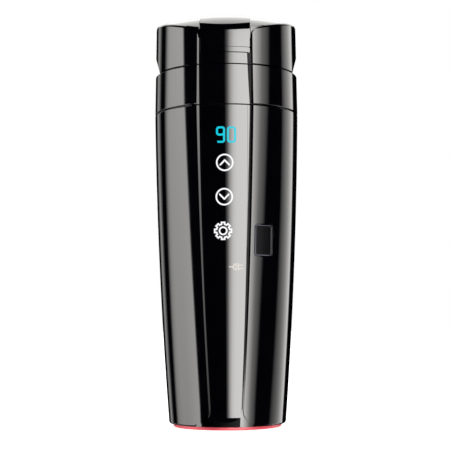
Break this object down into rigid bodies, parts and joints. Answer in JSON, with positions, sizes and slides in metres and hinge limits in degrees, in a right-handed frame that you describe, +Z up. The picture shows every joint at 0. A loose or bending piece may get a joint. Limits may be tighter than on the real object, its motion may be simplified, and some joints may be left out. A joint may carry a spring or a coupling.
{
  "type": "heated travel mug",
  "caption": "Electric heated travel mug with a screw-on lid, flip cover, touch control strip and covered power inlet.",
  "frame": {"origin": "centre of the base pad's underside, where the mug stands", "axes": "+Z up along the mug's axis, -Y out of the control strip, +X to the right of the strip as a person faces it"},
  "size_m": [0.08, 0.0787, 0.2284],
  "materials": {
    "shell_black": "piano-black moulded plastic, high gloss",
    "panel_black": "smoked black gloss plastic over the display",
    "display_cyan": "back-lit cyan digits",
    "icon_white": "back-lit white icons",
    "icon_grey": "printed off-white icon",
    "module_grey": "moulded display case",
    "board_green": "lacquered circuit board",
    "spring_steel": "plated spring wire",
    "cup_steel": "drawn stainless steel, satin inside",
    "silicone_grey": "food-grade silicone, translucent grey",
    "silicone_black": "food-grade silicone, black",
    "insulation_felt": "heat-resistant felt wrap",
    "heater_aluminium": "cast aluminium, as cast",
    "clamp_steel": "pressed steel",
    "fastener_steel": "zinc-plated steel",
    "thermostat_body": "phenolic",
    "fuse_body": "ceramic sleeve",
    "sensor_body": "potted sensor in a brass can",
    "shield_steel": "thin bright steel",
    "component_black": "moulded component cases",
    "lead_red": "silicone wire insulation, red",
    "lead_black": "wire insulation, black",
    "lead_grey": "ribbon lead insulation, grey",
    "jack_black": "moulded jack body",
    "jack_metal": "plated contact pin",
    "inner_plastic": "fine-textured moulded plastic",
    "pad_red": "soft red silicone",
    "flap_rubber": "matte black rubber",
    "pin_steel": "ground steel pin"
  },
  "bodies": {
    "mug": {"outer_shell": "shell_black", "control_panel": "panel_black", "display_digits": "display_cyan", "touch_icon_up": "icon_white", "touch_icon_down": "icon_white", "touch_icon_settings": "icon_white", "icon_power_inlet": "icon_grey", "display_module": "module_grey", "control_pcb": "board_green", "touch_springs": "spring_steel", "neck_collar": "shell_black", "inner_cup": "cup_steel", "cup_rim_seal": "silicone_grey", "insulation_sleeve": "insulation_felt", "heating_disc": "heater_aluminium", "heater_clamp": "clamp_steel", "heater_nuts": "fastener_steel", "thermostat": "thermostat_body", "thermal_fuse": "fuse_body", "temp_sensor": "sensor_body", "heat_shield": "shield_steel", "power_pcb": "board_green", "pcb_screws": "fastener_steel", "power_components": "component_black", "heater_leads": "lead_red", "inlet_leads": "lead_black", "display_lead": "lead_grey", "jack_socket": "jack_black", "jack_pin": "jack_metal", "base_cap": "inner_plastic", "base_screws": "fastener_steel", "base_pad": "pad_red"},
    "port_cover": {"port_cover": "flap_rubber"},
    "lid_seal": {"lid_seal": "silicone_grey"},
    "lid": {"lid_shell": "shell_black", "lid_inner": "inner_plastic", "lid_screws": "fastener_steel", "lid_baffle": "inner_plastic", "spout_insert": "silicone_black", "vent_valve": "silicone_grey", "hinge_pin": "pin_steel"},
    "flip_cover": {"flip_cover": "shell_black", "plug_carrier": "inner_plastic", "spout_plug": "silicone_grey"}
  },
  "joints": [
    {"name": "lid_lift", "type": "slide", "parent": "mug", "child": "lid_seal", "axis": [0, 0, 1], "range_m": [0, 0.02]},
    {"name": "lid_turn", "type": "hinge", "parent": "lid_seal", "child": "lid", "pos_m": [0, 0, 0.19], "axis": [0, 0, 1], "range_deg": [0, 720]},
    {"name": "flip_cover_hinge", "type": "hinge", "parent": "lid", "child": "flip_cover", "pos_m": [0, 0.028, 0.217], "axis": [-1, 0, 0], "range_deg": [0, 94]},
    {"name": "port_cover_hinge", "type": "hinge", "parent": "mug", "child": "port_cover", "pos_m": [0.02329, -0.029, 0.1002], "axis": [0.0218, -0.0347, 0.9992], "range_deg": [0, 85]}
  ],
  "couplings": [
    {"joint": "lid_lift", "follows": "lid_turn", "m_per_rad": 0.0015915}
  ]
}
